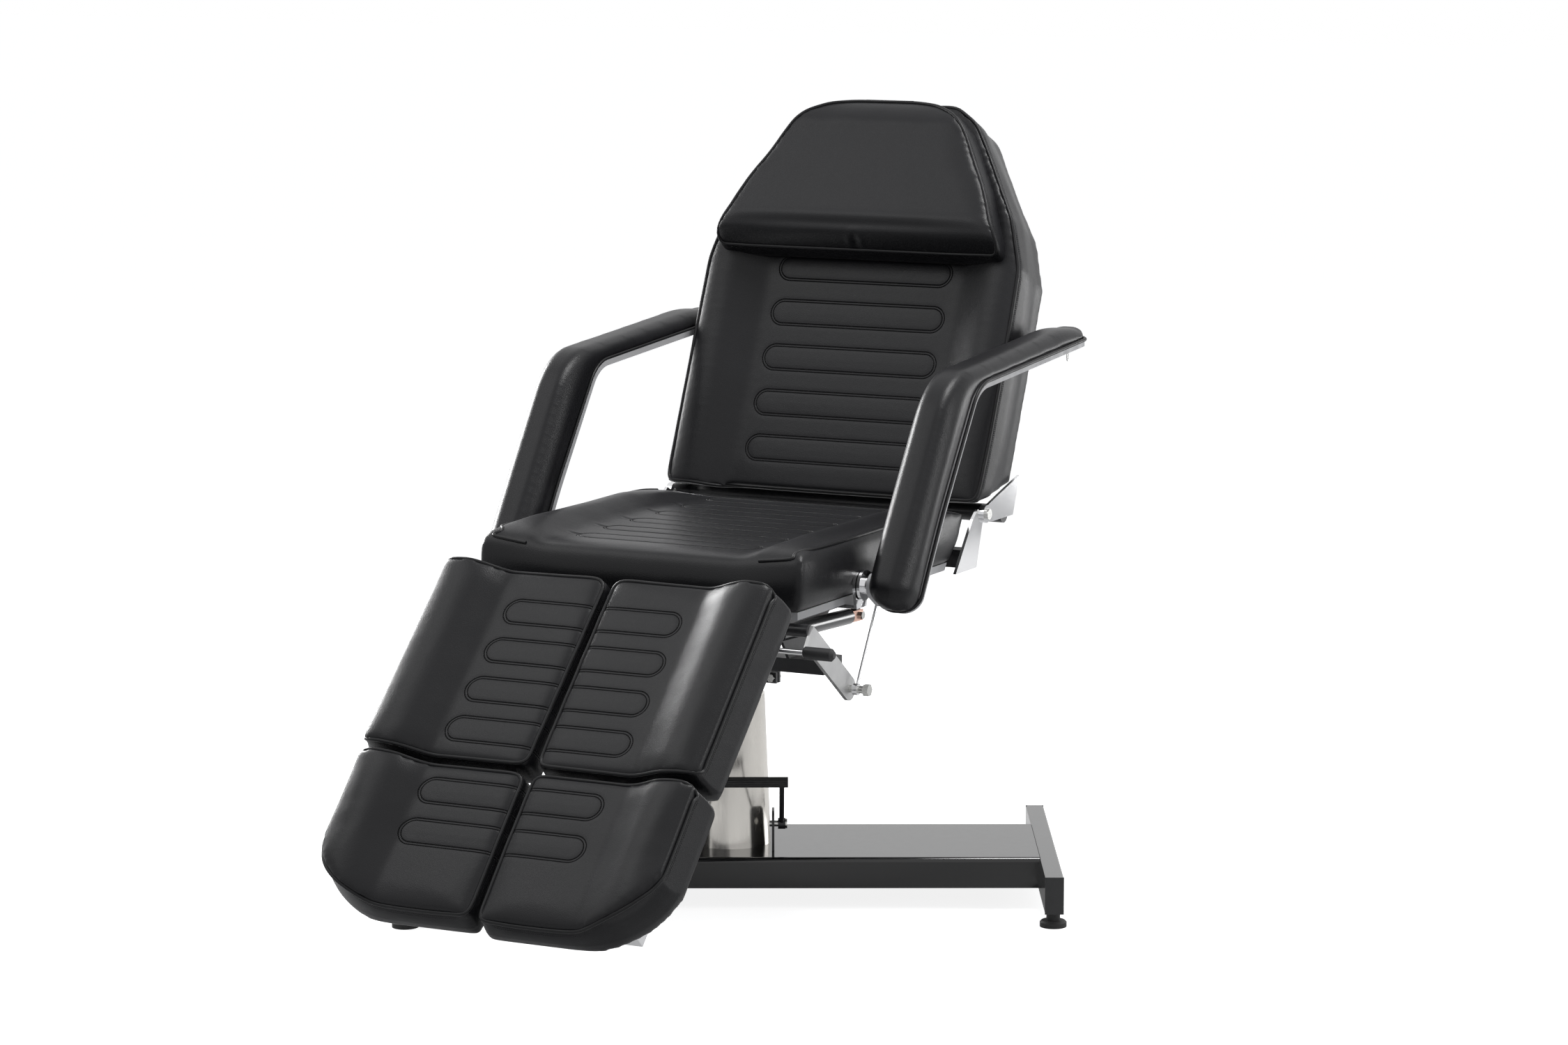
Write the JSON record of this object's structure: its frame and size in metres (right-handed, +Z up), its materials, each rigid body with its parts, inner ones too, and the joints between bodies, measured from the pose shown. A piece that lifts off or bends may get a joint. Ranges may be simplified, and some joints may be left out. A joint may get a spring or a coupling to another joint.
{
  "type": "tattoo chair",
  "caption": "Hydraulic tattoo chair with split extending leg rests, reclining back, head pillow and lifting padded arm rests on a crossbar base.",
  "frame": {"origin": "on the floor under the axis of the lift column", "axes": "+X to the sitter's left, +Y from the legs towards the back rest, +Z up"},
  "size_m": [1.1942, 1.5649, 1.2731],
  "materials": {
    "leatherette": "satin",
    "grey_board": "matte",
    "chrome": "polished",
    "polished_steel": "polished",
    "grey_steel": "satin",
    "black_paint": "satin",
    "gloss_black": "gloss",
    "strut_black": "gloss",
    "copper": "satin",
    "black_plastic": "matte",
    "black_rubber": "matte",
    "zinc_steel": "satin",
    "brass_washer": "satin"
  },
  "bodies": {
    "base": {"base_cover": "gloss_black", "crossbars": "gloss_black", "crossbar_end_caps": "black_plastic", "levelling_feet": "black_rubber", "pump_body": "black_paint", "column_sleeve": "polished_steel", "pedal_bracket": "black_paint", "pedal_pins": "zinc_steel"},
    "pedal": {"pedal_bow": "black_paint", "pedal_rubber": "black_rubber"},
    "lift": {"lift_ram": "polished_steel", "thrust_washer": "brass_washer"},
    "seat": {"swivel_head": "black_paint", "clamp_bolt": "zinc_steel", "seat_frame": "black_paint", "leg_hinge_tube": "black_paint", "seat_board": "grey_board", "seat_cushion": "leatherette", "hinge_ears": "chrome", "hinge_bolts": "zinc_steel", "arm_brackets": "chrome", "bar_arms": "grey_steel", "stay_pins": "zinc_steel", "strut_cylinders": "strut_black", "strut_forks": "copper", "strut_bolts": "zinc_steel", "lever_pins": "zinc_steel"},
    "back": {"back_frame": "black_paint", "back_brackets": "chrome", "back_board": "grey_board", "back_cushion": "leatherette", "head_pillow": "leatherette", "pillow_strap": "leatherette"},
    "leg_left": {"leg_frame_left": "black_paint", "calf_board_left": "grey_board", "calf_cushion_left": "leatherette"},
    "foot_left": {"foot_slide_left": "chrome", "foot_board_left": "grey_board", "foot_cushion_left": "leatherette"},
    "strut_rod_left": {"strut_rod_left": "chrome"},
    "lever_left": {"release_lever_left": "chrome", "lever_grip_left": "black_plastic"},
    "arm_left": {"arm_board_left": "grey_board", "arm_pad_left": "leatherette", "arm_crank_left": "chrome"},
    "stay_left": {"arm_stay_left": "chrome"},
    "leg_right": {"leg_frame_right": "black_paint", "calf_board_right": "grey_board", "calf_cushion_right": "leatherette"},
    "foot_right": {"foot_slide_right": "chrome", "foot_board_right": "grey_board", "foot_cushion_right": "leatherette"},
    "strut_rod_right": {"strut_rod_right": "chrome"},
    "lever_right": {"release_lever_right": "chrome", "lever_grip_right": "black_plastic"},
    "arm_right": {"arm_board_right": "grey_board", "arm_pad_right": "leatherette", "arm_crank_right": "chrome"},
    "stay_right": {"arm_stay_right": "chrome"}
  },
  "joints": [
    {"name": "pedal_press", "type": "hinge", "parent": "base", "child": "pedal", "pos_m": [0.02361, -0.04633, 0.125], "axis": [0.891, 0.454, 0], "range_deg": [0, 25], "stiffness_Nm_per_rad": 6, "springref_deg": -22.92},
    {"name": "lift_raise", "type": "slide", "parent": "base", "child": "lift", "axis": [0, 0, 1], "range_m": [0, 0.16]},
    {"name": "seat_swivel", "type": "hinge", "parent": "lift", "child": "seat", "pos_m": [0, 0, 0.356], "axis": [0, 0, 1], "continuous": true},
    {"name": "back_recline", "type": "hinge", "parent": "seat", "child": "back", "pos_m": [0, 0.352, 0.601], "axis": [-1, 0, 0], "range_deg": [0, 66.5]},
    {"name": "leg_tilt_left", "type": "hinge", "parent": "seat", "child": "leg_left", "pos_m": [0, -0.3324, 0.5096], "axis": [-1, 0, 0], "range_deg": [0, 46.3]},
    {"name": "foot_extend_left", "type": "slide", "parent": "leg_left", "child": "foot_left", "axis": [0, -0.6909, -0.723], "range_m": [0, 0.1]},
    {"name": "strut_slide_left", "type": "slide", "parent": "seat", "child": "strut_rod_left", "axis": [0, -0.9991, 0.0415], "range_m": [-0.001, 0.034]},
    {"name": "lever_press_left", "type": "hinge", "parent": "seat", "child": "lever_left", "pos_m": [-0.196, -0.33, 0.476], "axis": [0, -1, 0], "range_deg": [0, 10], "stiffness_Nm_per_rad": 2, "springref_deg": -17.19},
    {"name": "arm_lift_left", "type": "hinge", "parent": "seat", "child": "arm_left", "pos_m": [0, -0.117, 0.55], "axis": [1, 0, 0], "range_deg": [0, 40]},
    {"name": "stay_swing_left", "type": "hinge", "parent": "seat", "child": "stay_left", "pos_m": [0, -0.16, 0.391], "axis": [1, 0, 0], "range_deg": [-1, 9]},
    {"name": "leg_tilt_right", "type": "hinge", "parent": "seat", "child": "leg_right", "pos_m": [0, -0.3324, 0.5096], "axis": [-1, 0, 0], "range_deg": [0, 46.3]},
    {"name": "foot_extend_right", "type": "slide", "parent": "leg_right", "child": "foot_right", "axis": [0, -0.6909, -0.723], "range_m": [0, 0.1]},
    {"name": "strut_slide_right", "type": "slide", "parent": "seat", "child": "strut_rod_right", "axis": [0, -0.9991, 0.0415], "range_m": [-0.001, 0.034]},
    {"name": "lever_press_right", "type": "hinge", "parent": "seat", "child": "lever_right", "pos_m": [0.196, -0.33, 0.476], "axis": [0, 1, 0], "range_deg": [0, 10], "stiffness_Nm_per_rad": 2, "springref_deg": -17.19},
    {"name": "arm_lift_right", "type": "hinge", "parent": "seat", "child": "arm_right", "pos_m": [0, -0.117, 0.55], "axis": [1, 0, 0], "range_deg": [0, 40]},
    {"name": "stay_swing_right", "type": "hinge", "parent": "seat", "child": "stay_right", "pos_m": [0, -0.16, 0.391], "axis": [1, 0, 0], "range_deg": [-1, 9]}
  ],
  "couplings": [
    {"joint": "strut_slide_left", "follows": "leg_tilt_left", "m_per_rad": 0.039074},
    {"joint": "stay_swing_left", "follows": "arm_lift_left", "ratio": 0.1801},
    {"joint": "strut_slide_right", "follows": "leg_tilt_right", "m_per_rad": 0.039074},
    {"joint": "stay_swing_right", "follows": "arm_lift_right", "ratio": 0.1801}
  ]
}
